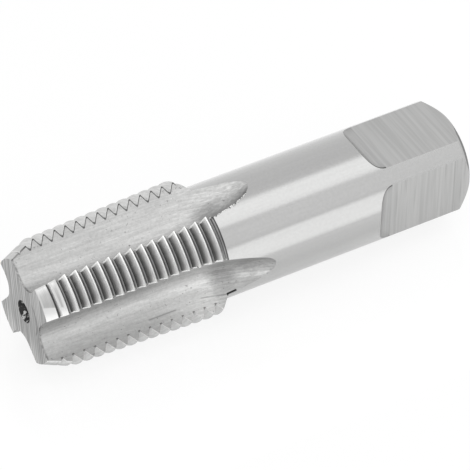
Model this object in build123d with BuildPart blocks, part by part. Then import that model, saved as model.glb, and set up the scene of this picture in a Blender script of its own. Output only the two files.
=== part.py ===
from build123d import *

import os
from math import atan, cos, degrees, radians, sin, tan

# Right-hand taper pipe tap, ground from one bar of tool steel.
# It lies along X with its cutting face at X = 0, its drive end towards +X and Z up.
# Sizes are in millimetres and angles in degrees.

# Lengths along the axis
overall_length = 73.0
thread_length = 30.05
flat_length = 14.1

# Taper thread, 14 turns to the inch on a taper of 1 in 16
pitch = 1.8143
taper = 1 / 16
crest_radius_at_face = 9.88
crest_flat = 0.2
root_flat = 0.2
flank_angle = 30.0
first_groove = 1.63

# Lead and back chamfers of the threaded section
face_radius = 8.23
lead_length = 4.2
back_chamfer_length = 1.75

# Flutes, in the section of a land that stands straight up
flute_count = 4
hook_angle = 6.4
cutting_wall_offset = 1.35
heel_wall_height = 3.32
heel_wall_angle = 6.8
hook_curve_start = 6.2
heel_curve_start = 7.0
wall_curve_radius = 9.0
hook_curve_turn = 45.0
heel_curve_turn = 35.0
flute_root_radius = 3.0
shallow_flute_lift = 0.35
shallow_flute_advance = 0.6
full_flute_length = 20.0
wheel_radius = 39.0
wheel_turn = 60.0

# Shank and drive square
shank_radius = 8.875
square_across_flats = 14.3
flat_count = 4
flat_run_out_radius = 3.2
rear_chamfer_length = 1.45
rear_chamfer_height = 1.75

# Centre holes that the tap is held by while it is ground
centre_hole_radius = 1.83
centre_hole_angle = 60.0
centre_pilot_radius = 0.8
centre_hole_depth = 5.0

# Turns about the axis with which the tap lies on two of its lands
land_turn = 1.6
square_turn = 2.4

# Room that a cutter has beyond the metal that it takes away
cutter_room = 1.0
groove_room = 0.05

# Thread form that follows from the sizes above
slope = taper / 2
flank_slope = tan(radians(flank_angle))
groove_depth = (pitch - crest_flat - root_flat) / 2 / flank_slope
back_start = thread_length - back_chamfer_length
rear_start = overall_length - rear_chamfer_length


def crest_radius(x):
    """Radius of the cone that the thread crests lie on."""
    return crest_radius_at_face + slope * x


# Grinding wheel that cuts a flute along the axis and then runs out on its own radius
reach = crest_radius(thread_length) + cutter_room
hook_lean = tan(radians(hook_angle))
heel_fall = tan(radians(heel_wall_angle))
corner_y = (cutting_wall_offset + hook_lean * heel_wall_height) / (1 + hook_lean * heel_fall)
corner_z = heel_wall_height - heel_fall * corner_y
middle_angle = radians((90 - hook_angle - heel_wall_angle) / 2)
half_opening = radians((90 - hook_angle + heel_wall_angle) / 2)
middle_y = cos(middle_angle)
middle_z = sin(middle_angle)
axis_distance = flute_root_radius / sin(half_opening) - flute_root_radius + wheel_radius
wheel_axis = Axis(
    (full_flute_length, corner_y + axis_distance * middle_y, corner_z + axis_distance * middle_z),
    (0, -middle_z, middle_y),
)
with BuildPart() as flute_wheel:
    with BuildSketch(Plane.YZ.offset(full_flute_length)) as flute_section:
        with BuildLine():
            cutting_wall = Line(
                (corner_y, corner_z),
                (cutting_wall_offset + hook_lean * hook_curve_start, hook_curve_start),
            )
            hook = JernArc(cutting_wall @ 1, cutting_wall % 1, wall_curve_radius, -hook_curve_turn)
            heel_wall = Line(
                (corner_y, corner_z),
                (heel_curve_start, heel_wall_height - heel_fall * heel_curve_start),
            )
            heel = JernArc(heel_wall @ 1, heel_wall % 1, wall_curve_radius, heel_curve_turn)
            Polyline(hook @ 1, (reach, reach), heel @ 1)
        make_face()
        fillet(flute_section.vertices().sort_by_distance((0, 0))[0], radius=flute_root_radius)
    extrude(amount=-full_flute_length - cutter_room)
    with BuildSketch(Plane.YZ.offset(full_flute_length)):
        add(flute_section.sketch_local)
    revolve(axis=wheel_axis, revolution_arc=wheel_turn)

# Milling cutter that leaves one flat of the square, with its rounded run-out
flat_height = square_across_flats / 2
flat_start = overall_length - flat_length
cutter_end = overall_length + cutter_room
cutter_top = flat_height + flat_run_out_radius + shank_radius
with BuildPart() as flat_mill:
    with BuildSketch(Plane.XZ) as mill_section:
        with BuildLine():
            run_out = CenterArc((flat_start, flat_height + flat_run_out_radius), flat_run_out_radius, 180, 90)
            Polyline(
                run_out @ 1,
                (cutter_end, flat_height),
                (cutter_end, cutter_top),
                (flat_start - flat_run_out_radius, cutter_top),
                run_out @ 0,
            )
        make_face()
    extrude(amount=shank_radius + cutter_room, both=True)

# Turned blank, drilled, fluted, squared and then threaded
turns_before_face = int(first_groove / pitch) + 2
turns_after_first = int((thread_length - first_groove) / pitch) + 1
root_half = root_flat / 2
mouth_height = groove_depth + groove_room
mouth_half = root_half + mouth_height * flank_slope
with BuildPart() as tap:
    with BuildSketch(Plane.XZ) as half_section:
        with BuildLine():
            Polyline(
                (0, 0),
                (0, face_radius),
                (lead_length, crest_radius(lead_length)),
                (back_start, crest_radius(back_start)),
                (thread_length, shank_radius),
                (rear_start, shank_radius),
                (overall_length, shank_radius - rear_chamfer_height),
                (overall_length, 0),
                close=True,
            )
        make_face()
    revolve(axis=Axis.X)
    ends = tap.faces().filter_by(Axis.X).sort_by(Axis.X)
    with Locations(Plane(ends[0]), Plane(ends[-1])):
        CounterSinkHole(
            centre_pilot_radius,
            centre_hole_radius,
            depth=centre_hole_depth,
            counter_sink_angle=centre_hole_angle,
        )
    for flute in range(flute_count):
        turn = land_turn + 360 / flute_count * (flute + 0.5)
        shallow = 1 - flute % 2
        lift = shallow * shallow_flute_lift
        shift = Location((shallow * shallow_flute_advance, lift * middle_y, lift * middle_z))
        with Locations(Location((0, 0, 0), (turn, 0, 0)) * shift):
            add(flute_wheel.part, mode=Mode.SUBTRACT)
    for flat in range(flat_count):
        turn = square_turn + 360 / flat_count * flat
        add(flat_mill.part, rotation=(turn, 0, 0), mode=Mode.SUBTRACT)
    for groove in range(-turns_before_face, turns_after_first):
        groove_x = first_groove + groove * pitch
        root_radius = crest_radius(groove_x) - groove_depth
        with BuildLine() as groove_path:
            Helix(
                pitch,
                pitch,
                root_radius,
                center=(groove_x, 0, 0),
                direction=(1, 0, 0),
                cone_angle=degrees(atan(slope)),
            )
        with BuildSketch(Plane.XZ) as groove_section:
            with BuildLine():
                Polyline(
                    (groove_x - root_half, root_radius - slope * root_half),
                    (groove_x - mouth_half, root_radius + mouth_height - slope * mouth_half),
                    (groove_x + mouth_half, root_radius + mouth_height + slope * mouth_half),
                    (groove_x + root_half, root_radius + slope * root_half),
                    close=True,
                )
            make_face()
        sweep(path=groove_path.line, is_frenet=True, mode=Mode.SUBTRACT)

tap.part.label = "tap"
os.makedirs("parts", exist_ok=True)
export_step(tap.part, "parts/tap.step")
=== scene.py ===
"""Looks of a ground taper pipe tap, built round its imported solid, in metres."""

import logging
import math
import random
from collections.abc import Sequence
from dataclasses import dataclass
from enum import Enum

import bmesh
import bpy
from mathutils import Matrix, Vector

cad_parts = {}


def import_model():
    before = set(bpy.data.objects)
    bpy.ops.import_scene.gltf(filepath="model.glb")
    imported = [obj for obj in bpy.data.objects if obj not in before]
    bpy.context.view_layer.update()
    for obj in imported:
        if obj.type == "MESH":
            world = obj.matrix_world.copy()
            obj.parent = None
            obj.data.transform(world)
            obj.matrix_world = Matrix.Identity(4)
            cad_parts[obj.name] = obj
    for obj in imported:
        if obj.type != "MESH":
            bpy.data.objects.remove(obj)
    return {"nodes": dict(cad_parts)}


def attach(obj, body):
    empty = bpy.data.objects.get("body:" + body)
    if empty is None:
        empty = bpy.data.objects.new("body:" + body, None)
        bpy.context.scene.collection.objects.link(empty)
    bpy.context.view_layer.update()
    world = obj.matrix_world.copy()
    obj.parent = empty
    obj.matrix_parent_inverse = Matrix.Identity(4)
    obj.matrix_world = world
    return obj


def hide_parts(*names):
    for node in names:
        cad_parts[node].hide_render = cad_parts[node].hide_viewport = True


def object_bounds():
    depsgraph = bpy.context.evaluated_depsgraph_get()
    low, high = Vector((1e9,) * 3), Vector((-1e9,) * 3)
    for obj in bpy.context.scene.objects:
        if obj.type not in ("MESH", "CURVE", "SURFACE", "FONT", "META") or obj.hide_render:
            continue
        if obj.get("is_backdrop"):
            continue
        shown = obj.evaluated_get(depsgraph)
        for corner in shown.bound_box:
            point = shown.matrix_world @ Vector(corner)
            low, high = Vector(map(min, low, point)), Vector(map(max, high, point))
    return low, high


logging.basicConfig(level=logging.INFO, format="%(message)s")
log = logging.getLogger("tap")

BODY = "root"
NODE = "tap"
MM = 0.001
PER_MM = 1000.0
# Bare steel is a little less blue than grey
BLUE_SHARE = 0.992

Socket = bpy.types.NodeSocket
# Where something starts and ends
Range = tuple[float, float]
# The middle of something, half its width and the width of its soft edge
Band = tuple[float, float, float]


class Zone(Enum):
    """The surfaces of the tap that are finished in ways of their own."""

    SHANK = 0
    FLUTE = 1
    CREST = 2
    FRONT_FLANK = 3
    BACK_FLANK = 4
    ROOT = 5
    LEAD = 6
    BACK_CHAMFER = 7
    CUTTING_FACE = 8
    CENTRE_HOLE = 9
    FLAT = 10
    FLAT_RUN_OUT = 11
    REAR_CHAMFER = 12
    DRIVE_END = 13


class Axis(Enum):
    """Axes that a pattern can be turned about."""

    X = "X_AXIS"
    Z = "Z_AXIS"


@dataclass(frozen=True)
class TapSizes:
    """Sizes of the tap that the looks are laid out by, in millimetres and degrees."""

    overall_length: float = 73.0
    thread_length: float = 30.05
    pitch: float = 1.8143
    first_groove: float = 1.63
    root_half: float = 0.1
    groove_depth: float = 1.2248
    taper_slope: float = 1 / 32
    crest_radius_at_face: float = 9.88
    face_radius: float = 8.23
    lead_length: float = 4.2
    lead_slope: float = 0.4241
    back_start: float = 28.3
    shank_radius: float = 8.875
    flat_height: float = 7.15
    flat_start: float = 58.9
    flat_run_out: float = 3.2
    rear_chamfer_length: float = 1.45
    hole_radius: float = 1.9
    land_turn: float = 1.6
    cutting_wall_offset: float = 1.35
    cutting_wall_lean: float = 0.1122
    hook_curve_start: float = 6.2
    heel_wall_height: float = 3.32
    heel_wall_fall: float = 0.1192
    heel_curve_start: float = 7.0
    wall_curve_radius: float = 9.0
    middle_across: float = 0.784
    middle_up: float = 0.621
    shallow_lift: float = 0.35
    full_flute_length: float = 20.3
    wheel_radius: float = 39.0


SIZES = TapSizes()


@dataclass(frozen=True)
class Lay:
    """Direction and fineness of the marks that a tool leaves on a surface.

    The scale is in marks per millimetre along X, Y and Z, after a turn about one axis.
    """

    scale: tuple[float, float, float]
    turn_deg: float = 0.0
    axis: Axis = Axis.X


def even(scale: float) -> Lay:
    """Gives the lay of marks that run in no direction of their own."""
    return Lay((scale, scale, scale))


@dataclass(frozen=True)
class Marks:
    """One layer of tool marks, and how much they lighten and darken the steel."""

    lay: Lay
    contrast: float
    detail: float = 3.0
    rough: float = 0.6
    spread: float = 0.2

    def graded(self, noise: "Sum", middle: float) -> "Sum":
        """Turns noise into a number that varies about a middle by the contrast."""
        low, high = middle - self.contrast, middle + self.contrast
        return noise.span(0.5 - self.spread, 0.5 + self.spread, low, high)


def feed(
    tree: bpy.types.NodeTree,
    sockets: Sequence[Socket],
    values: Sequence["Sum | Socket | float"],
) -> None:
    """Puts numbers or links on a node's inputs in order."""
    for socket, value in zip(sockets, values):
        if isinstance(value, (int, float)):
            socket.default_value = value
        else:
            tree.links.new(value.socket if isinstance(value, Sum) else value, socket)


def math_node(
    tree: bpy.types.NodeTree, operation: str, *values: "Sum | Socket | float"
) -> Socket:
    """Adds one Math node with its inputs in order, and gives its result."""
    node = tree.nodes.new("ShaderNodeMath")
    node.operation = operation
    feed(tree, node.inputs, values)
    return node.outputs[0]


@dataclass(frozen=True)
class Sum:
    """A number in a node tree that sums can be done with."""

    recipe: "Recipe"
    socket: Socket

    def math(self, operation: str, *others: "Sum | float") -> "Sum":
        """Does one sum on this number and others."""
        return self.recipe.math(operation, self, *others)

    def __add__(self, other: "Sum | float") -> "Sum":
        """Adds."""
        return self.math("ADD", other)

    def __sub__(self, other: "Sum | float") -> "Sum":
        """Subtracts."""
        return self.math("SUBTRACT", other)

    def __mul__(self, other: "Sum | float") -> "Sum":
        """Multiplies."""
        return self.math("MULTIPLY", other)

    __radd__ = __add__
    __rmul__ = __mul__

    def __rsub__(self, other: float) -> "Sum":
        """Subtracts this number from another."""
        return self.recipe.math("SUBTRACT", other, self)

    def above(self, floor: float) -> "Sum":
        """Gives how far the number is above a floor, and 0 below it."""
        return (self - floor).math("MAXIMUM", 0.0)

    def span(
        self, low: float, high: float, out_low: float = 0.0, out_high: float = 1.0
    ) -> "Sum":
        """Maps a range onto another one smoothly, and holds it at the ends."""
        node = self.recipe.nodes.new("ShaderNodeMapRange")
        node.interpolation_type = "SMOOTHSTEP"
        self.recipe.links.new(self.socket, node.inputs["Value"])
        for name, number in zip(
            ("From Min", "From Max", "To Min", "To Max"), (low, high, out_low, out_high)
        ):
            node.inputs[name].default_value = number
        return Sum(self.recipe, node.outputs["Result"])

    def fall(self, low: float, high: float) -> "Sum":
        """Gives 1 below a range and 0 above it."""
        return self.span(low, high, 1.0, 0.0)

    def band(self, middle: float, half: float, soft: float) -> "Sum":
        """Gives 1 within a half width of a middle and 0 beyond its soft edge."""
        return (self - middle).math("ABSOLUTE").fall(half, half + soft)


class Recipe:
    """One node material of bare steel, put together step by step."""

    def __init__(self, name: str, tone: float) -> None:
        """Makes the material and the nodes that every recipe has.

        Args:
            name: The material's name.
            tone: How light the bare steel is.
        """
        self.tone: Sum | float = tone
        self.material = bpy.data.materials.new(name)
        self.material.use_nodes = True
        self.tree = self.material.node_tree
        self.nodes, self.links = self.tree.nodes, self.tree.links
        self.shader = self.nodes["Principled BSDF"]
        self.shader.inputs["Metallic"].default_value = 1.0
        place = self.nodes.new("ShaderNodeTexCoord").outputs["Object"]
        self.place = self.scaled(place, (PER_MM, PER_MM, PER_MM))
        split = self.nodes.new("ShaderNodeSeparateXYZ")
        self.links.new(self.place, split.inputs[0])
        self.x, self.y, self.z = (Sum(self, socket) for socket in split.outputs)
        self.radius = (self.y * self.y + self.z * self.z).math("SQRT")
        self.turn = self.z.math("ARCTAN2", self.y) * (1 / math.tau)

    def scaled(self, vector: Socket, scale: tuple[float, float, float]) -> Socket:
        """Multiplies a vector by a fixed one along X, Y and Z."""
        node = self.nodes.new("ShaderNodeVectorMath")
        node.operation = "MULTIPLY"
        self.links.new(vector, node.inputs[0])
        node.inputs[1].default_value = scale
        return node.outputs[0]

    def laid(self, lay: Lay) -> Socket:
        """Turns and scales the place so that a texture follows a tool's marks."""
        vector = self.place
        if lay.turn_deg:
            node = self.nodes.new("ShaderNodeVectorRotate")
            node.rotation_type = lay.axis.value
            node.inputs["Angle"].default_value = math.radians(lay.turn_deg)
            self.links.new(vector, node.inputs["Vector"])
            vector = node.outputs["Vector"]
        return self.scaled(vector, lay.scale)

    def math(self, operation: str, *values: Sum | float) -> Sum:
        """Does one sum on numbers."""
        return Sum(self, math_node(self.tree, operation, *values))

    def noise(self, lay: Lay, detail: float = 3.0, rough: float = 0.6) -> Sum:
        """Fractal noise from 0 to 1 along a lay.

        Args:
            lay: The marks' direction and fineness.
            detail: How many finer layers are added.
            rough: How strong the finer layers are.

        Returns:
            The noise.
        """
        node = self.nodes.new("ShaderNodeTexNoise")
        self.links.new(self.laid(lay), node.inputs["Vector"])
        node.inputs["Scale"].default_value = 1.0
        node.inputs["Detail"].default_value = detail
        node.inputs["Roughness"].default_value = rough
        return Sum(self, node.outputs["Fac"])

    def marked(self, marks: Marks) -> Sum:
        """Noise from 0 to 1 along some marks."""
        return self.noise(marks.lay, marks.detail, marks.rough)

    def ragged(self, marks: Marks) -> Sum:
        """Noise that goes to either side of 0 by the marks' contrast."""
        return marks.graded(self.marked(marks), 0.0)

    def blend(self, share: Sum, low: Sum | float, high: Sum | float) -> Sum:
        """Goes from one number to another by a share from 0 to 1."""
        node = self.nodes.new("ShaderNodeMix")
        feed(self.tree, (node.inputs[0], *node.inputs[2:4]), (share, low, high))
        return Sum(self, node.outputs[0])

    def times(self, share: Sum) -> None:
        """Multiplies the tone."""
        self.tone = share * self.tone

    def dim(self, mask: Sum, shade: float) -> None:
        """Takes a share of the tone off where a mask is 1."""
        self.times(1.0 - mask * shade)

    def lift(self, mask: Sum, lift: Sum | float) -> None:
        """Adds a share of the tone to it where a mask is 1."""
        self.times(1.0 + mask * lift)

    def paint(self, mask: Sum, tone: float) -> None:
        """Puts another tone where a mask is 1."""
        self.tone = self.blend(mask, self.tone, tone)

    def finish(self, roughness: float, bump: Sum, bump_height: float) -> bpy.types.Material:
        """Puts tone, roughness and bump on the shader.

        Args:
            roughness: The steel's roughness.
            bump: The height of the tool marks from 0 to 1.
            bump_height: How high the marks stand, in millimetres.

        Returns:
            The finished material.
        """
        colour = self.nodes.new("ShaderNodeCombineColor")
        feed(self.tree, colour.inputs, (self.tone, self.tone, self.tone * BLUE_SHARE))
        self.links.new(colour.outputs[0], self.shader.inputs["Base Color"])
        self.shader.inputs["Roughness"].default_value = roughness
        node = self.nodes.new("ShaderNodeBump")
        node.inputs["Strength"].default_value = 1.0
        node.inputs["Distance"].default_value = bump_height * MM
        self.links.new(bump.socket, node.inputs["Height"])
        self.links.new(node.outputs[0], self.shader.inputs["Normal"])
        return self.material


@dataclass(frozen=True)
class LandPlace:
    """Where a point lies on its land, from the edges that the flutes leave."""

    recipe: Recipe
    lands: float = 4.0
    deep_turn: float = 0.75
    deep_range: Range = (0.5, 0.52)

    def turned(self) -> Sum:
        """Turn from the first land, where 1 is a full turn."""
        return self.recipe.turn - SIZES.land_turn / 360

    def odd(self) -> Sum:
        """Gives 1 on the two lands that the deep flutes' heels are on, or else 0."""
        return (self.turned() * (self.lands / 2)).math("FRACT").math("GREATER_THAN", 0.5)

    def deep(self) -> Sum:
        """Gives 1 in the two deep flutes and 0 in the shallow ones."""
        start = self.turned() * (self.lands / 2) + self.deep_turn
        return start.math("FRACT").span(*self.deep_range)

    def across(self) -> tuple[Sum, Sum, Sum, Sum]:
        """Gives the distances across the land from its cutting edge and its heel.

        Returns:
            The distance from the cutting edge, the one from the heel, the one from the
            land's middle towards the cutting edge, all in millimetres, and 1 on the two
            lands that the deep flutes' heels are on, or else 0.
        """
        size, recipe = SIZES, self.recipe
        angle = (self.turned() * self.lands).math("FRACT") - 0.5
        angle = angle * (math.tau / self.lands)
        side = recipe.radius * angle.math("SINE")
        height = recipe.radius * angle.math("COSINE")
        odd = self.odd()
        beyond = recipe.x.above(size.full_flute_length)
        lift = beyond * beyond * (0.5 / size.wheel_radius)
        bend = 0.5 / size.wall_curve_radius
        cut_lift = lift + odd * size.shallow_lift
        heel_lift = lift + (1.0 - odd) * size.shallow_lift
        reach = height - cut_lift * size.middle_up
        curve = reach.above(size.hook_curve_start)
        cut = cut_lift * size.middle_across + reach * size.cutting_wall_lean + side
        cut = cut + curve * curve * bend + size.cutting_wall_offset
        reach = height - heel_lift * size.middle_across
        curve = reach.above(size.heel_curve_start)
        heel = heel_lift * size.middle_up - reach * size.heel_wall_fall - side
        heel = heel + curve * curve * bend + size.heel_wall_height
        return cut, heel, side * -1.0, odd


@dataclass(frozen=True)
class ThreadPlace:
    """Where a point lies in the thread's profile."""

    recipe: Recipe
    root_phase: float = 0.5
    start_turn: float = 0.25

    def crest(self) -> Sum:
        """Radius of the cone that the crests lie on."""
        return self.recipe.x * SIZES.taper_slope + SIZES.crest_radius_at_face

    def phase(self) -> Sum:
        """Share of the way from one crest to the next, the root phase in mid groove."""
        recipe, pitch = self.recipe, SIZES.pitch
        start = self.root_phase + self.start_turn - SIZES.first_groove / pitch
        return (recipe.x * (1 / pitch) - recipe.turn + start).math("FRACT")

    def outer(self) -> Sum:
        """Radius of the ground surface that the grooves are cut into."""
        lead = self.recipe.x * SIZES.lead_slope + SIZES.face_radius
        return self.crest().math("MINIMUM", lead)

    def profile(self) -> Sum:
        """Radius of the thread's profile along and round the tap, in millimetres."""
        size = SIZES
        from_root = (self.phase() - self.root_phase).math("ABSOLUTE") * size.pitch
        slope_width = size.pitch / 2 - 2 * size.root_half
        rise = (from_root - size.root_half) * (1 / slope_width)
        rise = rise.math("MAXIMUM", 0.0).math("MINIMUM", 1.0)
        groove = self.crest() - (1.0 - rise) * size.groove_depth
        return groove.math("MINIMUM", self.outer())


@dataclass(frozen=True)
class PaintedShadowLine:
    """One painted shadow line behind the thread, where the front tongue starts."""

    x: float = 30.6
    turn: float = 204.05 / 360 - 1
    slope: float = 0.86 / 360
    half_length: float = 0.72
    soft_length: float = 0.15
    half_turn: float = 0.003
    soft_turn: float = 0.001
    wall_reach: float = 0.24
    soft_wall: float = 0.06
    # Share of the tone that the painted shadow takes off
    depth: float = 0.93

    def lay_on(self, recipe: Recipe) -> None:
        """Paints the shadow line."""
        along = recipe.x.band(self.x, self.half_length, self.soft_length)
        slanted = recipe.turn + recipe.x * self.slope
        middle = self.turn + self.x * self.slope
        across = slanted.band(middle, self.half_turn, self.soft_turn)
        inner = SIZES.shank_radius - self.wall_reach
        outside = recipe.radius.span(inner - self.soft_wall, inner)
        recipe.dim(along * across * outside, self.depth)


@dataclass(frozen=True)
class Spot:
    """One small light or dark spot painted on the steel."""

    place: tuple[float, float, float]
    radius: float
    tone: float
    soft_range: Range = (0.6, 1.3)

    def lay_on(self, recipe: Recipe) -> None:
        """Paints the spot."""
        away = [axis - at for axis, at in zip((recipe.x, recipe.y, recipe.z), self.place)]
        squares = [distance * distance for distance in away]
        near = (squares[0] + squares[1] + squares[2]).math("SQRT")
        inner, outer = self.soft_range
        recipe.paint(near.fall(self.radius * inner, self.radius * outer), self.tone)


@dataclass(frozen=True)
class Scratches:
    """The two thin scratches along the lower wall of the front flute."""

    wall_y: Range = (-6.2, -6.0)
    first_z: Band = (-3.96, 0.03, 0.05)
    first_x: Band = (19.4, 2.1, 0.4)
    second_slope: float = 0.0245
    second_z: Band = (-2.952, 0.03, 0.05)
    second_x: Band = (28.0, 1.8, 0.6)
    shade: float = 0.3

    def lay_on(self, recipe: Recipe) -> None:
        """Darkens the scratches."""
        first = recipe.z.band(*self.first_z) * recipe.x.band(*self.first_x)
        sloped = recipe.z + recipe.x * self.second_slope
        second = sloped.band(*self.second_z) * recipe.x.band(*self.second_x)
        recipe.dim(first.math("MAXIMUM", second) * recipe.y.fall(*self.wall_y), self.shade)


@dataclass(frozen=True)
class Steel:
    """Bare steel with layers of tool marks, specks and spots. The first layer is felt."""

    name: str
    tone: float
    marks: tuple[Marks, ...]
    roughness: float = 0.3
    bump_height: float = 0.004
    specks: float = 0.0
    speck_size: float = 0.4
    speck_range: Range = (0.68, 0.76)
    spots: tuple[Spot, ...] = ()
    coat: float = 0.0
    coat_roughness: float = 0.15

    def dress(self, recipe: Recipe) -> None:
        """Adds what only one finish has, and here nothing."""

    def material(self) -> bpy.types.Material:
        """Makes the material.

        Returns:
            The material.
        """
        recipe = Recipe(self.name, self.tone)
        bump = None
        for marks in self.marks:
            noise = recipe.marked(marks)
            bump = bump or noise
            recipe.times(marks.graded(noise, 1.0))
        if self.specks:
            dots = recipe.noise(even(1 / self.speck_size), detail=1.0, rough=0.5)
            recipe.times(dots.span(*self.speck_range, 1.0, 1 - self.specks))
        self.dress(recipe)
        for spot in self.spots:
            spot.lay_on(recipe)
        recipe.shader.inputs["Coat Weight"].default_value = self.coat
        recipe.shader.inputs["Coat Roughness"].default_value = self.coat_roughness
        return recipe.finish(self.roughness, bump, self.bump_height)


@dataclass(frozen=True)
class ShankSteel(Steel):
    """Ground shank with the painted shadow line."""

    def dress(self, recipe: Recipe) -> None:
        """Paints the shadow line."""
        PaintedShadowLine().lay_on(recipe)


@dataclass(frozen=True)
class Tongues:
    """Painted light and shade, and streaks, on the tongues where the flutes run out into the
    shank.
    """

    late_x: Range = (22.0, 31.0)
    upper_lift: float = 0.05
    front_x: Range = (27.0, 30.0)
    front_shade: float = 0.18
    dip_start_x: Range = (26.8, 29.2)
    dip_end_x: Range = (30.8, 33.0)
    dip_z: Band = (-1.4, 0.6, 1.0)
    dip_shade: float = 0.32
    end_x: Range = (31.0, 33.5)
    end_shade: float = 0.17
    end_low_z: Range = (-1.9, -0.4)
    end_low_lift: float = 0.1
    end_streak_z: Band = (-1.9, 0.15, 0.35)
    end_streak_lift: float = 0.2
    low_start_x: Range = (27.5, 29.8)
    low_end_x: Range = (31.0, 34.0)
    low_end_share: float = 0.3
    low_y: Range = (0.6, 1.3)
    low_shade: float = 0.34
    # Painted shadow along the upper tongue's lower edge, soft and then ragged
    rim_width: Range = (0.2, 1.9)
    rim_radius: Range = (6.4, 8.5)
    rim_x: Range = (26.5, 29.5)
    rim_shade: float = 0.34
    jagged: Marks = Marks(even(2.2), 0.22, rough=0.7)
    jagged_width: Range = (0.3, 0.9)
    jagged_radius: Range = (8.42, 8.68)
    jagged_x: Range = (28.5, 30.5)
    jagged_shade: float = 0.4
    streaks: Marks = Marks(Lay((0.2, 4.4, 4.4), 14.0, Axis.Z), 0.1, 2.0, spread=0.15)

    def lay_on(self, recipe: Recipe, deep: Sum, cut: Sum) -> None:
        """Paints light and shade on the tongues, and streaks them.

        Args:
            recipe: The material being made.
            deep: 1 in the deep flutes, and else 0.
            cut: The distance from the cutting edge's wall, in millimetres.
        """
        late = recipe.x.span(*self.late_x)
        shallow = 1.0 - deep
        # Painted light on the upper tongues, then painted shade and light on the deep flutes'
        # tongues
        recipe.lift(late * shallow, self.upper_lift)
        recipe.dim(recipe.x.span(*self.front_x) * deep, self.front_shade)
        dip = recipe.x.span(*self.dip_start_x) * recipe.x.fall(*self.dip_end_x)
        recipe.dim(dip * recipe.z.band(*self.dip_z) * deep, self.dip_shade)
        end = recipe.x.span(*self.end_x) * deep
        recipe.dim(end, self.end_shade)
        low = recipe.z.fall(*self.end_low_z) * self.end_low_lift
        recipe.lift(end, low + recipe.z.band(*self.end_streak_z) * self.end_streak_lift)
        # Painted shade on the lower part of the upper tongue
        low = recipe.x.span(*self.low_start_x)
        low = low * recipe.x.span(*self.low_end_x, 1.0, self.low_end_share)
        recipe.dim(low * recipe.y.fall(*self.low_y) * shallow, self.low_shade)
        # Painted shadow along the upper tongue's lower edge, soft and then ragged
        from_wall = cut.math("ABSOLUTE")
        rim = from_wall.fall(*self.rim_width) * recipe.radius.span(*self.rim_radius)
        recipe.dim(rim * shallow * recipe.x.span(*self.rim_x), self.rim_shade)
        jagged = (recipe.radius + recipe.ragged(self.jagged)).span(*self.jagged_radius)
        jagged = jagged * from_wall.fall(*self.jagged_width)
        recipe.dim(jagged * shallow * recipe.x.span(*self.jagged_x), self.jagged_shade)
        recipe.lift(recipe.ragged(self.streaks), late)


@dataclass(frozen=True)
class FluteSteel(Steel):
    """Ground flute, with painted shadow lines along the thread's edge and at its mouth, and
    painted light and shade along it.
    """

    heel_range: Range = (0.25, 0.4)
    wall_range: Range = (0.25, 0.6)
    wall_lift: float = 0.1
    thread_x: Range = (28.0, 28.3)
    line_range: Range = (0.21, 0.315)
    line_x: Range = (1.2, 2.8)
    line_start: float = 0.5
    line_shade: float = 0.74
    root_along: Band = (0.5, 0.07, 0.05)
    root_above: Band = (-0.05, 0.12, 0.08)
    root_shade: float = 0.6
    mouth_x: Range = (0.2, 0.4)
    mouth_dots: float = 1.4
    mouth_dot_range: Range = (0.42, 0.58)
    mouth_shade: float = 0.45
    length_x: Range = (0.0, 28.0)
    front_share: float = 0.93
    back_share: float = 1.05
    deep_shade: float = 0.13
    deep_low_y: Range = (-7.6, -5.6)
    deep_low_x: Range = (14.0, 26.0)
    deep_low_shade: float = 0.16
    deep_back_x: Range = (18.0, 26.0)
    deep_back_lift: float = 0.12
    spots: tuple[Spot, ...] = (Spot((17.85, 0.06, 5.04), 0.16, 0.25),)

    def dress(self, recipe: Recipe) -> None:
        """Paints the shadow lines, the shade in the roots and the light and shade along the
        flute, and finishes its tongue.
        """
        land, thread = LandPlace(recipe), ThreadPlace(recipe)
        cut, heel, _, _ = land.across()
        on_wall = cut.math("ABSOLUTE").fall(*self.wall_range)
        in_thread = recipe.x.fall(*self.thread_x)
        # Painted shadow line along the thread's heel edge
        below = (thread.profile() - recipe.radius).math("ABSOLUTE")
        line = below.fall(*self.line_range) * in_thread
        line = line * recipe.x.span(*self.line_x, self.line_start, 1.0)
        on_heel = heel.math("ABSOLUTE").fall(*self.heel_range)
        recipe.dim(line * on_heel, self.line_shade)
        # Painted shade in the roots beside the cutting wall
        above_root = recipe.radius - thread.crest() + SIZES.groove_depth
        root = thread.phase().band(*self.root_along) * above_root.band(*self.root_above)
        recipe.dim(root * on_wall * in_thread, self.root_shade)
        # Painted shadow line along the flute's mouth
        dots = recipe.noise(even(self.mouth_dots), detail=2.0).span(*self.mouth_dot_range)
        mouth = recipe.x.fall(*self.mouth_x)
        recipe.dim(mouth * (dots * 0.5 + 0.5), self.mouth_shade)
        # Painted light along the cutting wall in the thread
        recipe.lift(on_wall * in_thread, self.wall_lift)
        # Painted light and shade: darker at the front and lighter at the back, darker in the
        # deep flutes and on their low wall, lighter at their back
        recipe.times(recipe.x.span(*self.length_x, self.front_share, self.back_share))
        deep = land.deep()
        recipe.dim(deep, self.deep_shade)
        low = recipe.y.fall(*self.deep_low_y) * recipe.x.fall(*self.deep_low_x)
        recipe.dim(deep * low, self.deep_low_shade)
        recipe.lift(deep * recipe.x.span(*self.deep_back_x), self.deep_back_lift)
        Tongues().lay_on(recipe, deep, cut)
        Scratches().lay_on(recipe)
        # Painted shadow line behind the thread, where the front tongue starts
        PaintedShadowLine().lay_on(recipe)


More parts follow.
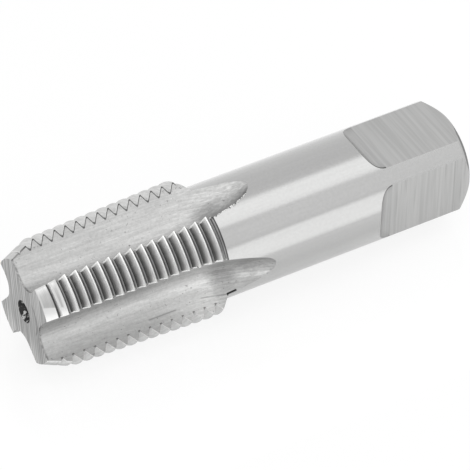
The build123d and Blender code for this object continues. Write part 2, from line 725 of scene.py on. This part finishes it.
@dataclass(frozen=True)
class FlankSteel(Steel):
    """Front flank of the thread: painted shade down to its root, towards its heel and on the
    side lands, and painted highlights at its cutting edge and its heel.
    """

    depth_share: float = 0.8
    root_share: float = 0.3
    across_range: Range = (-2.4, 1.5)
    heel_share: float = 0.85
    side_land_share: float = 0.75
    jagged: Marks = Marks(even(2.5), 0.06)
    tip_range: Range = (0.16, 0.26)
    heel_range: Range = (0.096, 0.156)
    tip_tone: float = 0.98
    side_tip_share: float = 0.4
    spots: tuple[Spot, ...] = (Spot((24.31, -9.04, 4.89), 0.13, 0.08),)

    def dress(self, recipe: Recipe) -> None:
        """Paints shade down to the flank's root and across it, and highlights on its edges."""
        cut, heel, side, odd = LandPlace(recipe).across()
        depth = ThreadPlace(recipe).outer() - recipe.radius
        root_depth = SIZES.groove_depth * self.depth_share
        graded = depth.span(0.0, root_depth, 1.0, self.root_share)
        graded = graded * side.span(*self.across_range, self.heel_share, 1.0)
        recipe.times(recipe.blend(odd, self.side_land_share, graded))
        # Painted highlights along the cutting edge and the heel, with ragged edges
        jagged = recipe.ragged(self.jagged)
        tip = (cut + jagged).fall(*self.tip_range)
        end = (heel + jagged).fall(*self.heel_range)
        light = tip.math("MAXIMUM", end) * recipe.blend(odd, self.side_tip_share, 1.0)
        recipe.paint(light, self.tip_tone)


@dataclass(frozen=True)
class BackFlankSteel(Steel):
    """Back flank of the thread: a speckled strip between two painted shadow lines, painted
    lighter on the side lands.
    """

    top_range: Range = (0.12, 0.3)
    root_range: Range = (0.9, 1.1)
    line_shade: float = 0.55
    side_land_lift: float = 1.25
    spots: tuple[Spot, ...] = (Spot((14.27, -6.31, 6.97), 0.14, 1.0),)

    def dress(self, recipe: Recipe) -> None:
        """Paints the two shadow lines, and light on the side lands."""
        depth = ThreadPlace(recipe).crest() - recipe.radius
        odd = LandPlace(recipe).odd()
        lines = depth.fall(*self.top_range).math("MAXIMUM", depth.span(*self.root_range))
        recipe.dim(lines * odd, self.line_shade)
        recipe.lift(1.0 - odd, self.side_land_lift)


@dataclass(frozen=True)
class CrestSteel(Steel):
    """Crest of the thread, with painted shade towards its heel and on the side lands."""

    across_range: Range = (-2.4, 1.2)
    heel_share: float = 0.72
    side_land_share: float = 0.78

    def dress(self, recipe: Recipe) -> None:
        """Paints shade across the crest and on the side lands."""
        _, _, side, odd = LandPlace(recipe).across()
        graded = side.span(*self.across_range, self.heel_share, 1.0)
        recipe.times(recipe.blend(odd, self.side_land_share, graded))


@dataclass(frozen=True)
class RootSteel(Steel):
    """Root of the thread, painted dark as shade, darkest in the lead."""

    lead_x: Range = (2.4, 3.2)
    lead_share: float = 0.3

    def dress(self, recipe: Recipe) -> None:
        """Paints the root darker in the lead."""
        recipe.times(recipe.x.span(*self.lead_x, self.lead_share, 1.0))


@dataclass(frozen=True)
class LeadSteel(Steel):
    """Ground lead, with painted highlights at its cutting edge and a painted reflection on the
    part behind its middle.
    """

    light_tone: float = 0.69
    edge_range: Range = (0.16, 0.32)
    middle_range: Range = (0.0, 1.6)
    edge_lift: float = 0.75
    middle_lift: float = 0.08
    low_range: Range = (1.4, 3.2)
    low_share: float = 0.84
    behind_slope: float = 0.3
    behind_range: Range = (1.98, 2.22)
    further_x: Range = (2.6, 2.9)
    groove_back: Band = (0.735, 0.05, 0.05)
    groove_back_x: Range = (1.8, 2.0)
    groove_back_share: float = 0.8
    face_x: Range = (0.12, 0.3)
    face_share: float = 0.6
    side_land_share: float = 0.45

    def dress(self, recipe: Recipe) -> None:
        """Paints light across the lead's land, with highlights on its edges and a reflection on
        its back.
        """
        cut, heel, _, odd = LandPlace(recipe).across()
        lift = cut.span(*self.middle_range, self.edge_lift, self.middle_lift)
        recipe.times(1.0 + lift)
        recipe.times(cut.span(*self.low_range, 1.0, self.low_share))
        strip = ThreadPlace(recipe).phase().band(*self.groove_back)
        # Painted highlights and reflection, fainter on the side lands
        light = cut.fall(*self.edge_range)
        for other in (
            (heel + recipe.x * self.behind_slope).fall(*self.behind_range),
            recipe.x.span(*self.further_x),
            strip * recipe.x.span(*self.groove_back_x) * self.groove_back_share,
            recipe.x.span(*self.face_x, self.face_share, 0.0),
        ):
            light = light.math("MAXIMUM", other)
        light = light * recipe.blend(odd, self.side_land_share, 1.0)
        recipe.paint(light, self.light_tone)


@dataclass(frozen=True)
class BackChamferSteel(Steel):
    """Turned back chamfer with dark rings and painted shade on its rim."""

    first_ring: float = 28.2
    ring_pitch: float = 0.8
    ring: Band = (0.5, 0.14, 0.14)
    ring_shade: float = 0.93
    rim_x: Range = (29.7, 29.9)
    rim_shade: float = 0.5

    def dress(self, recipe: Recipe) -> None:
        """Draws the rings and paints shade on the rim."""
        rings = (recipe.x - self.first_ring) * (1 / self.ring_pitch) + self.ring[0]
        recipe.dim(recipe.x.span(*self.rim_x), self.rim_shade)
        recipe.dim(rings.math("FRACT").band(*self.ring), self.ring_shade)


@dataclass(frozen=True)
class RearChamferSteel(Steel):
    """Turned rear chamfer with painted shade on its rim."""

    rim_x: Range = (72.1, 72.4)
    rim_shade: float = 0.78

    def dress(self, recipe: Recipe) -> None:
        """Paints shade on the rim."""
        recipe.dim(recipe.x.span(*self.rim_x), self.rim_shade)


@dataclass(frozen=True)
class RunOutSteel(Steel):
    """Milled run-out with a painted shadow line where it meets the shank."""

    line_range: Range = (0.126, 0.21)
    line_shade: float = 0.68
    line_least: float = 0.07
    upper_z: Range = (3.0, 5.0)
    side_line_share: float = 0.1
    far_x: Range = (56.4, 57.0)
    far_y: Range = (-4.2, -2.8)
    soft_depth: float = 0.9
    soft_shade: float = 0.14

    def dress(self, recipe: Recipe) -> None:
        """Paints the shadow line, with a soft painted shade along it."""
        depth = SIZES.shank_radius - recipe.radius
        upper = recipe.z.span(*self.upper_z, self.side_line_share, 1.0)
        shown = recipe.x.span(*self.far_x) * recipe.y.fall(*self.far_y) * upper
        shown = shown * (1 - self.line_least) + self.line_least
        recipe.times(1.0 - depth.span(0.0, self.soft_depth, self.soft_shade, 0.0))
        recipe.dim(depth.fall(*self.line_range) * shown, self.line_shade)


@dataclass(frozen=True)
class FlatSteel(Steel):
    """Milled flat, with single darker lines on the flats that face sideways."""

    lines: Lay = Lay((1.7, 0.05, 0.05))
    line_range: Range = (0.3, 0.44)
    line_shade: float = 0.2
    side_y: Range = (6.6, 7.0)

    def dress(self, recipe: Recipe) -> None:
        """Draws the darker lines."""
        lines = recipe.noise(self.lines, detail=2.0, rough=0.7).fall(*self.line_range)
        sideways = recipe.y.math("ABSOLUTE").span(*self.side_y)
        recipe.dim(lines * sideways, self.line_shade)


@dataclass(frozen=True)
class FaceSteel(Steel):
    """Ground cutting face with even grinding lines, the faint mark of a turned ring, and
    painted light towards -Z and +Y.
    """

    ring: Band = (4.15, 0.09, 0.12)
    ring_turn: Range = (0.34, 0.39)
    ring_z: Range = (-2.2, -1.2)
    ring_shade: float = 0.45
    line_turn_deg: float = 6.6
    line_pitch: float = 0.6
    line_contrast: float = 0.2
    wander_scale: tuple[float, float, float] = (0.2, 0.9, 0.06)
    line_wander: float = 1.6
    low_z: Range = (-8.0, -2.0)
    low_share: float = 1.35
    side_y: Range = (0.0, 6.0)
    side_share: float = 1.06

    def dress(self, recipe: Recipe) -> None:
        """Draws the lines, and the ring where it shows, round the side towards -Y."""
        lean = math.radians(self.line_turn_deg)
        across = recipe.y * math.cos(lean) - recipe.z * math.sin(lean)
        wander = recipe.noise(Lay(self.wander_scale, self.line_turn_deg), detail=2.0, rough=0.5)
        place = across * (1 / self.line_pitch) + wander * self.line_wander
        recipe.lift((place * math.tau).math("SINE"), self.line_contrast)
        # Painted light, lighter towards -Z and towards +Y
        recipe.times(recipe.z.span(*self.low_z, self.low_share, 1.0))
        recipe.times(recipe.y.span(*self.side_y, 1.0, self.side_share))
        shown = recipe.turn.math("ABSOLUTE").span(*self.ring_turn)
        shown = shown * recipe.z.span(*self.ring_z)
        recipe.dim(recipe.radius.band(*self.ring) * shown, self.ring_shade)


@dataclass(frozen=True)
class HoleSteel(Steel):
    """Centre hole, painted dark as shade, with painted glints."""

    glint_scale: float = 1.3
    glint_range: Range = (0.5, 0.62)
    glint_tone: float = 0.55

    def dress(self, recipe: Recipe) -> None:
        """Scatters the painted glints."""
        glints = recipe.noise(even(self.glint_scale), detail=2.0).span(*self.glint_range)
        recipe.paint(glints, self.glint_tone)


def linked(name: str, data: bpy.types.ID) -> bpy.types.Object:
    """Makes an object of some data and puts it in the scene.

    Args:
        name: The object's name.
        data: Its mesh, lamp or camera.

    Returns:
        The object.
    """
    item = bpy.data.objects.new(name, data)
    bpy.context.scene.collection.objects.link(item)
    return item


def meshed(name: str, bm: bmesh.types.BMesh) -> bpy.types.Object:
    """Makes an object of a finished bmesh, which it frees.

    Args:
        name: The object's name.
        bm: The bmesh.

    Returns:
        The object.
    """
    mesh = bpy.data.meshes.new(name)
    bm.to_mesh(mesh)
    bm.free()
    return linked(name, mesh)


@dataclass
class Tap:
    """The tap itself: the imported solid's surface, welded, zoned and dressed.

    A facing is how much a face looks along the axis, and outward how much it looks away
    from it, both from -1 to 1. Distances are in millimetres.
    """

    node: bpy.types.Object
    sharp_angle_deg: float = 16.0
    weld: float = 0.0001
    slack: float = 0.05
    crest_slack: float = 0.1
    end_facing: float = 0.99
    flank_facing: float = 0.8
    back_facing: float = 0.7
    chamfer_facing: float = 0.3
    root_facing: float = 0.06
    straight_facing: float = 0.02
    back_outward: float = 0.6
    lead_outward: float = 0.9
    land_outward: float = 0.97
    shank_outward: float = 0.98

    def zone_of(self, centre: Vector, normal: Vector) -> Zone:
        """Tells which surface of the tap a face belongs to.

        Args:
            centre: The face's middle, in millimetres.
            normal: The way that the face looks.

        Returns:
            The first zone whose test the face passes.
        """
        size, x, facing = SIZES, centre.x, normal.x
        lean = abs(facing)
        radius = math.hypot(centre.y, centre.z)
        height = normal.y * centre.y + normal.z * centre.z
        outward = height / max(radius, self.weld)
        depth = size.crest_radius_at_face + size.taper_slope * x - radius
        to_end = size.overall_length - x
        on_square = x > size.flat_start - size.flat_run_out
        threaded = x < size.thread_length
        at_back = threaded and x > size.back_start - self.crest_slack
        in_lead = x < size.lead_length and facing < -self.chamfer_facing
        turned = to_end < size.rear_chamfer_length and facing > self.chamfer_facing
        coned = facing > self.back_facing and outward > self.back_outward
        level = threaded and outward > self.land_outward
        in_root = depth < size.groove_depth + self.slack and lean < self.root_facing
        round_bar = lean < self.straight_facing and outward > self.shank_outward
        tests = (
            (Zone.CUTTING_FACE, facing < -self.end_facing and x < self.slack),
            (Zone.DRIVE_END, facing > self.end_facing and to_end < self.slack),
            (Zone.CENTRE_HOLE, radius < size.hole_radius),
            (Zone.REAR_CHAMFER, turned),
            (Zone.FLAT_RUN_OUT, on_square and lean > self.straight_facing),
            (Zone.FLAT, on_square and height < size.flat_height + self.slack),
            (Zone.SHANK, on_square),
            (Zone.FRONT_FLANK, threaded and facing < -self.flank_facing),
            (Zone.BACK_FLANK, threaded and facing > self.flank_facing),
            (Zone.BACK_CHAMFER, at_back and coned),
            (Zone.LEAD, in_lead and outward > self.lead_outward),
            (Zone.CREST, level and depth < self.crest_slack),
            (Zone.ROOT, level and in_root),
            (Zone.SHANK, round_bar and not threaded),
        )
        return next((zone for zone, passed in tests if passed), Zone.FLUTE)

    def build(self) -> bpy.types.Object:
        """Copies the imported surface, welds it and sorts its faces by zone.

        Returns:
            The new piece.
        """
        bm = bmesh.new()
        bm.from_mesh(self.node.data)
        bmesh.ops.remove_doubles(bm, verts=bm.verts, dist=self.weld * MM)
        bm.normal_update()
        for face in bm.faces:
            face.smooth = True
            centre = face.calc_center_median() * PER_MM
            face.material_index = self.zone_of(centre, face.normal).value
        limit = math.radians(self.sharp_angle_deg)
        for edge in bm.edges:
            edge.smooth = edge.is_manifold and edge.calc_face_angle(0.0) < limit
        piece = meshed("tap_surface", bm)
        self.round_off(piece.data)
        return piece

    def round_off(self, mesh: bpy.types.Mesh) -> None:
        """Gives the shank's faces the normals of a true cylinder.

        Args:
            mesh: The tap's welded mesh.
        """
        normals = [Vector((0.0, 0.0, 0.0))] * len(mesh.loops)
        for polygon in mesh.polygons:
            if polygon.material_index != Zone.SHANK.value:
                continue
            for loop in polygon.loop_indices:
                place = mesh.vertices[mesh.loops[loop].vertex_index].co
                normals[loop] = Vector((0.0, place.y, place.z)).normalized()
        mesh.normals_split_custom_set(normals)

    def make(self) -> bpy.types.Object:
        """Builds and dresses the tap and puts it in the frame.

        Returns:
            The finished piece.
        """
        piece = self.build()
        finishes = tap_finishes()
        for zone in Zone:
            piece.data.materials.append(finishes[zone].material())
        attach(piece, BODY)
        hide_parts(NODE)
        return piece


def tap_finishes() -> dict[Zone, Steel]:
    """Gives each zone its finish.

    Returns:
        The finishes by zone.
    """
    shank_lines = Marks(Lay((0.05, 2.4, 2.4)), 0.015, 4.0, 0.65)
    lengthwise = Marks(Lay((0.12, 4.2, 4.2)), 0.07, 3.0, 0.7)
    slanted = Marks(Lay((0.22, 2.4, 2.4), 9.0, Axis.Z), 0.06, 4.0, 0.75)
    clouds = Marks(Lay((0.12, 0.6, 0.6)), 0.03, 2.0, 0.5)
    grain = Marks(even(2.6), 0.02, 2.0, 0.6)
    rough_grain = Marks(even(2.2), 0.07, 3.0, 0.8)
    milled = Marks(Lay((2.6, 0.06, 0.06)), 0.06, 3.0, 0.6, 0.15)
    wide_milled = Marks(Lay((0.7, 0.03, 0.03)), 0.03, 1.0, 0.5)
    flank_marks = Marks(Lay((7.0, 0.35, 0.35)), 0.08, 2.0, 0.5)
    thread_grain = Marks(even(3.0), 0.1, 3.0, 0.7)
    speckle = Marks(Lay((5.0, 3.0, 3.0)), 0.4, 2.0, 0.7, 0.12)
    face_lines = Marks(Lay((1.0, 3.8, 0.08), 6.6), 0.24, 2.0, 0.5, 0.1)
    face_clouds = Marks(Lay((1.0, 0.9, 0.1), 6.6), 0.05, 2.0, 0.5)
    flute_marks = (slanted, lengthwise, clouds, rough_grain)
    # The zones are one steel; their tones differ partly by painted light and shade: crest and
    # front flank painted lighter, back flank and root darker, the centre hole dark as shade
    return {
        Zone.SHANK: ShankSteel(
            "shank_ground", 0.42, (shank_lines, grain), 0.21, 0.0004, coat=1.0
        ),
        Zone.FLUTE: FluteSteel(
            "flute_ground", 0.52, flute_marks, 0.55, 0.003, specks=0.35, speck_size=0.35
        ),
        Zone.CREST: CrestSteel("crest_ground", 0.7, (thread_grain,), 0.3, 0.001),
        Zone.FRONT_FLANK: FlankSteel("front_flank_ground", 0.92, (flank_marks,), 0.45, 0.0005),
        Zone.BACK_FLANK: BackFlankSteel("back_flank_ground", 0.4, (speckle,), 0.35, 0.001),
        Zone.ROOT: RootSteel("root_ground", 0.2, (thread_grain,), 0.3, 0.001),
        Zone.LEAD: LeadSteel("lead_ground", 0.5, (flank_marks,), 0.3, 0.001),
        Zone.BACK_CHAMFER: BackChamferSteel("back_chamfer_turned", 0.33, (thread_grain,), 0.3),
        Zone.CUTTING_FACE: FaceSteel(
            "face_ground", 0.375, (face_lines, face_clouds), 0.4, 0.003
        ),
        Zone.CENTRE_HOLE: HoleSteel("centre_hole_shaded", 0.04, (grain,), 0.5),
        Zone.FLAT: FlatSteel("flat_milled", 0.45, (milled, wide_milled), 0.35),
        Zone.FLAT_RUN_OUT: RunOutSteel("run_out_milled", 0.42, (milled, wide_milled), 0.35),
        Zone.REAR_CHAMFER: RearChamferSteel("rear_chamfer_turned", 0.41, (grain,), 0.35),
        Zone.DRIVE_END: Steel("end_turned", 0.42, (grain, clouds), 0.4),
    }


@dataclass
class TongueBurr:
    """The ragged burr along the lower edge of the upper flute's tongue."""

    surface: bpy.types.Object
    start: float = 30.3
    end: float = 36.6
    first_turn_deg: float = 100.0
    last_turn_deg: float = 118.0
    cuts: int = 4
    least_reach: float = 0.03
    most_reach: float = 0.48
    lift: float = 0.06
    thickness: float = 0.05
    weld: float = 0.001
    seed: int = 7

    def on_edge(self, edge: bmesh.types.BMEdge) -> bool:
        """Tells whether an edge of the surface lies between that tongue and the shank."""
        zones = {face.material_index for face in edge.link_faces}
        middle = (edge.verts[0].co + edge.verts[1].co) * (PER_MM / 2)
        turn = math.degrees(math.atan2(middle.z, middle.y))
        return (
            zones == {Zone.SHANK.value, Zone.FLUTE.value}
            and self.start < middle.x < self.end
            and self.first_turn_deg < turn < self.last_turn_deg
        )

    def build(self) -> bpy.types.Object:
        """Draws a ragged lip out of the tongue's edge and lays it on the shank.

        Returns:
            The burr.
        """
        source = bmesh.new()
        source.from_mesh(self.surface.data)
        bm = bmesh.new()
        for edge in filter(self.on_edge, source.edges):
            bm.edges.new([bm.verts.new(vert.co) for vert in edge.verts])
        source.free()
        bmesh.ops.remove_doubles(bm, verts=bm.verts, dist=self.weld * MM)
        bmesh.ops.subdivide_edges(bm, edges=bm.edges, cuts=self.cuts)
        drawn = bmesh.ops.extrude_edge_only(bm, edges=bm.edges)["geom"]
        rim = [item for item in drawn if isinstance(item, bmesh.types.BMVert)]
        chance = random.Random(self.seed)
        for vert in sorted(rim, key=lambda item: item.co.x):
            outward = Vector((0.0, vert.co.y, vert.co.z)).normalized()
            across = Vector((0.0, -outward.z, outward.y))
            share = chance.random() ** 2
            reach = self.least_reach + (self.most_reach - self.least_reach) * share
            vert.co += (across * reach + outward * self.lift) * MM
        bmesh.ops.recalc_face_normals(bm, faces=bm.faces)
        bm.normal_update()
        bmesh.ops.solidify(bm, geom=bm.faces[:], thickness=self.thickness * MM)
        bmesh.ops.recalc_face_normals(bm, faces=bm.faces)
        return meshed("tongue_burr", bm)

    def make(self) -> bpy.types.Object:
        """Builds and dresses the burr.

        Returns:
            The finished piece.
        """
        piece = self.build()
        speckle = Marks(even(3.0), 0.75, 2.0, 0.6, 0.1)
        finish = Steel("burr_torn", 0.55, (speckle,), 0.4, 0.002)
        piece.data.materials.append(finish.material())
        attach(piece, BODY)
        return piece


@dataclass(frozen=True)
class Lamp:
    """One soft strip lamp: its place, its length and width, and its brightness."""

    name: str
    place: tuple[float, float, float]
    target: tuple[float, float, float]
    length: float
    width: float
    radiance: float

    def make(self) -> bpy.types.Object:
        """Hangs the lamp, where a radiance of 1 is that of the white surround.

        Returns:
            The lamp.
        """
        data = bpy.data.lights.new(self.name, "AREA")
        data.shape = "RECTANGLE"
        data.size, data.size_y = self.length, self.width
        data.energy = self.radiance * math.pi * self.length * self.width
        lamp = linked(self.name, data)
        away = (Vector(self.place) - Vector(self.target)).normalized()
        across = Vector((1, 0, 0)) - away.x * away
        across.normalize()
        turn = Matrix((across, away.cross(across), away)).transposed()
        lamp.matrix_world = Matrix.Translation(self.place) @ turn.to_4x4()
        lamp.visible_camera = False
        return lamp


@dataclass
class Studio:
    """A pale floor, a plain white surround, three strip lamps and the camera."""

    floor_level: float
    floor_size: float = 6.0
    floor_tone: float = 0.95
    floor_roughness: float = 0.15
    floor_ior: float = 2.0
    seen_glow: float = 0.85
    mirrored_glow: float = 0.45
    surround: float = 0.9
    lens_mm: float = 315.05
    sensor_mm: float = 36.0
    sight: float = 20.0
    camera_place: tuple[float, float, float] = (-0.19824, -0.40539, 0.40276)
    camera_turn_deg: tuple[float, float, float] = (49.25, 0.0, -30.0)
    lamps: tuple[Lamp, ...] = (
        Lamp("lamp_top", (0.17, -0.058, 0.3), (0.04, 0.0, 0.0), 0.6, 0.2, 0.75),
        Lamp("lamp_front", (0.06, -0.035, 0.00225), (0.06, 0.0, 0.00225), 0.5, 0.0215, 0.7),
        Lamp("lamp_fill", (0.16, -0.23, 0.193), (0.04, 0.0, 0.0), 0.6, 0.17, 0.2),
    )

    def seen(self, tree: bpy.types.NodeTree, by_camera: float, by_metal: float) -> Socket:
        """Gives one number to camera rays, one to glossy and transmission rays, and else 0.

        Args:
            tree: The node tree to add to.
            by_camera: What camera rays get.
            by_metal: What glossy and transmission rays get.

        Returns:
            The socket.
        """
        path = tree.nodes.new("ShaderNodeLightPath")
        seen = None
        for name, share in (
            ("Is Camera Ray", by_camera),
            ("Is Glossy Ray", by_metal),
            ("Is Transmission Ray", by_metal),
        ):
            scaled = math_node(tree, "MULTIPLY", path.outputs[name], share)
            seen = math_node(tree, "MAXIMUM", seen, scaled) if seen else scaled
        return seen

    def floor(self) -> bpy.types.Object:
        """Lays the floor that the tap lies on.

        Returns:
            The floor.
        """
        bm = bmesh.new()
        bmesh.ops.create_grid(bm, x_segments=1, y_segments=1, size=self.floor_size / 2)
        bmesh.ops.translate(bm, verts=bm.verts, vec=(0, 0, self.floor_level))
        floor = meshed("floor", bm)
        floor.data.materials.append(self.floor_material())
        floor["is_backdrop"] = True
        return floor

    def floor_material(self) -> bpy.types.Material:
        """Makes the floor's pale finish, which glows white where it is only seen.

        Returns:
            The material.
        """
        material = bpy.data.materials.new("floor_pale")
        material.use_nodes = True
        nodes, links = material.node_tree.nodes, material.node_tree.links
        shader = nodes["Principled BSDF"]
        shader.inputs["Base Color"].default_value = (self.floor_tone,) * 3 + (1.0,)
        shader.inputs["Roughness"].default_value = self.floor_roughness
        shader.inputs["IOR"].default_value = self.floor_ior
        glow = nodes.new("ShaderNodeEmission")
        mix = nodes.new("ShaderNodeMixShader")
        share = self.seen(material.node_tree, self.seen_glow, self.mirrored_glow)
        links.new(share, mix.inputs[0])
        links.new(shader.outputs[0], mix.inputs[1])
        links.new(glow.outputs[0], mix.inputs[2])
        links.new(mix.outputs[0], nodes["Material Output"].inputs["Surface"])
        return material

    def world(self) -> None:
        """Sets a plain white surround that is seen as white and lights softly."""
        world = bpy.data.worlds.new("surround")
        bpy.context.scene.world = world
        world.use_nodes = True
        nodes, links = world.node_tree.nodes, world.node_tree.links
        background = nodes["Background"]
        background.inputs["Color"].default_value = (1.0, 1.0, 1.0, 1.0)
        strength = nodes.new("ShaderNodeMix")
        links.new(self.seen(world.node_tree, 1.0, 1.0), strength.inputs[0])
        strength.inputs[2].default_value = self.surround
        strength.inputs[3].default_value = 1.0
        links.new(strength.outputs[0], background.inputs["Strength"])

    def camera(self) -> bpy.types.Object:
        """Places the camera where the photograph was taken from.

        Returns:
            The camera.
        """
        data = bpy.data.cameras.new("camera")
        data.lens = self.lens_mm
        data.sensor_width = self.sensor_mm
        data.clip_end = self.sight
        camera = linked("camera", data)
        camera.location = self.camera_place
        camera.rotation_euler = [math.radians(angle) for angle in self.camera_turn_deg]
        bpy.context.scene.camera = camera
        return camera

    def make(self) -> None:
        """Sets up everything round the tap."""
        self.floor()
        self.world()
        for lamp in self.lamps:
            lamp.make()
        self.camera()


def main() -> None:
    """Builds the tap and the studio."""
    bpy.context.scene.view_settings.view_transform = "Standard"
    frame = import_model()
    solid_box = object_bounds()
    surface = Tap(frame["nodes"][NODE]).make()
    burr = TongueBurr(surface).make()
    for piece in (surface, burr):
        log.info("%s: %d faces", piece.name, len(piece.data.polygons))
    Studio(floor_level=solid_box[0].z).make()


if __name__ == "__main__":
    main()
